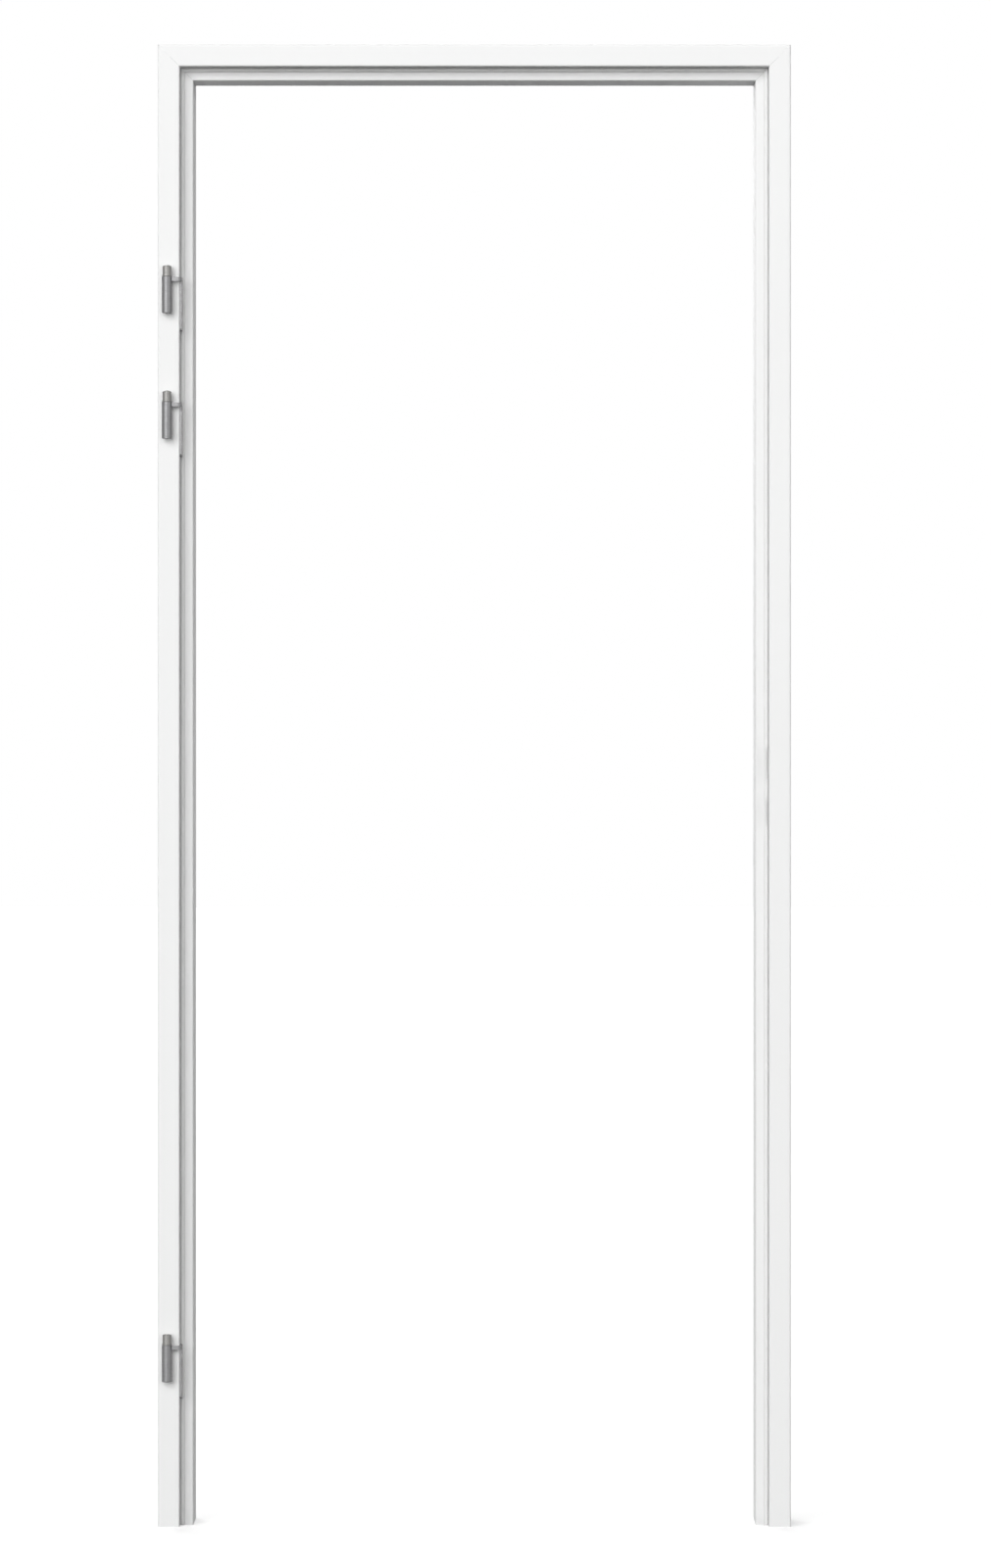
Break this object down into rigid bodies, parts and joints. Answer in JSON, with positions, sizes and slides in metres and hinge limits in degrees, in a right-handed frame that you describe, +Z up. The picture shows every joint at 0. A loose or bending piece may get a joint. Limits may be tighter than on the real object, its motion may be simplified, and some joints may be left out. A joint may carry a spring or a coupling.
{
  "type": "steel door frame",
  "caption": "White folded steel frame for a rebated door: two jambs and a head with mitred corners, a seal in the stop, and hinge halves with upright pins on one jamb.",
  "frame": {"origin": "on the floor, in the middle of the overall box", "axes": "+X across the doorway towards the lock side, +Y from the hinge face into the wall, +Z up"},
  "size_m": [0.871, 0.143, 2.04],
  "materials": {
    "coated_sheet": "satin white coating",
    "seal": "matt, pale grey",
    "guard": "moulded, matt",
    "hinge_steel": "brushed",
    "bush": "sintered, dull",
    "fasteners": "zinc plated",
    "zinc_steel": "galvanised"
  },
  "bodies": {
    "root": {"hinge_jamb": "coated_sheet", "lock_jamb": "coated_sheet", "head": "coated_sheet", "head_seal": "seal", "hinge_jamb_seal": "seal", "lock_jamb_seal": "seal", "strike_guard_box": "guard", "top_hinge_leaf": "hinge_steel", "top_hinge_pin": "hinge_steel", "middle_hinge_leaf": "hinge_steel", "middle_hinge_pin": "hinge_steel", "bottom_hinge_leaf": "hinge_steel", "bottom_hinge_pin": "hinge_steel", "top_hinge_bush": "bush", "middle_hinge_bush": "bush", "bottom_hinge_bush": "bush", "hinge_corner_bolts": "fasteners", "hinge_corner_nuts": "fasteners", "lock_corner_bolts": "fasteners", "lock_corner_nuts": "fasteners", "top_hinge_screws": "fasteners", "middle_hinge_screws": "fasteners", "bottom_hinge_screws": "fasteners", "hinge_foot_bracket": "zinc_steel", "hinge_corner_jamb_plate": "zinc_steel", "hinge_corner_head_plate": "zinc_steel", "hinge_wall_tie_lower": "zinc_steel", "hinge_wall_tie_middle": "zinc_steel", "hinge_wall_tie_upper": "zinc_steel", "lock_foot_bracket": "zinc_steel", "lock_corner_jamb_plate": "zinc_steel", "lock_corner_head_plate": "zinc_steel", "lock_wall_tie_lower": "zinc_steel", "lock_wall_tie_middle": "zinc_steel", "lock_wall_tie_upper": "zinc_steel", "top_hinge_reinforcement": "zinc_steel", "middle_hinge_reinforcement": "zinc_steel", "bottom_hinge_reinforcement": "zinc_steel"}
  },
  "joints": []
}
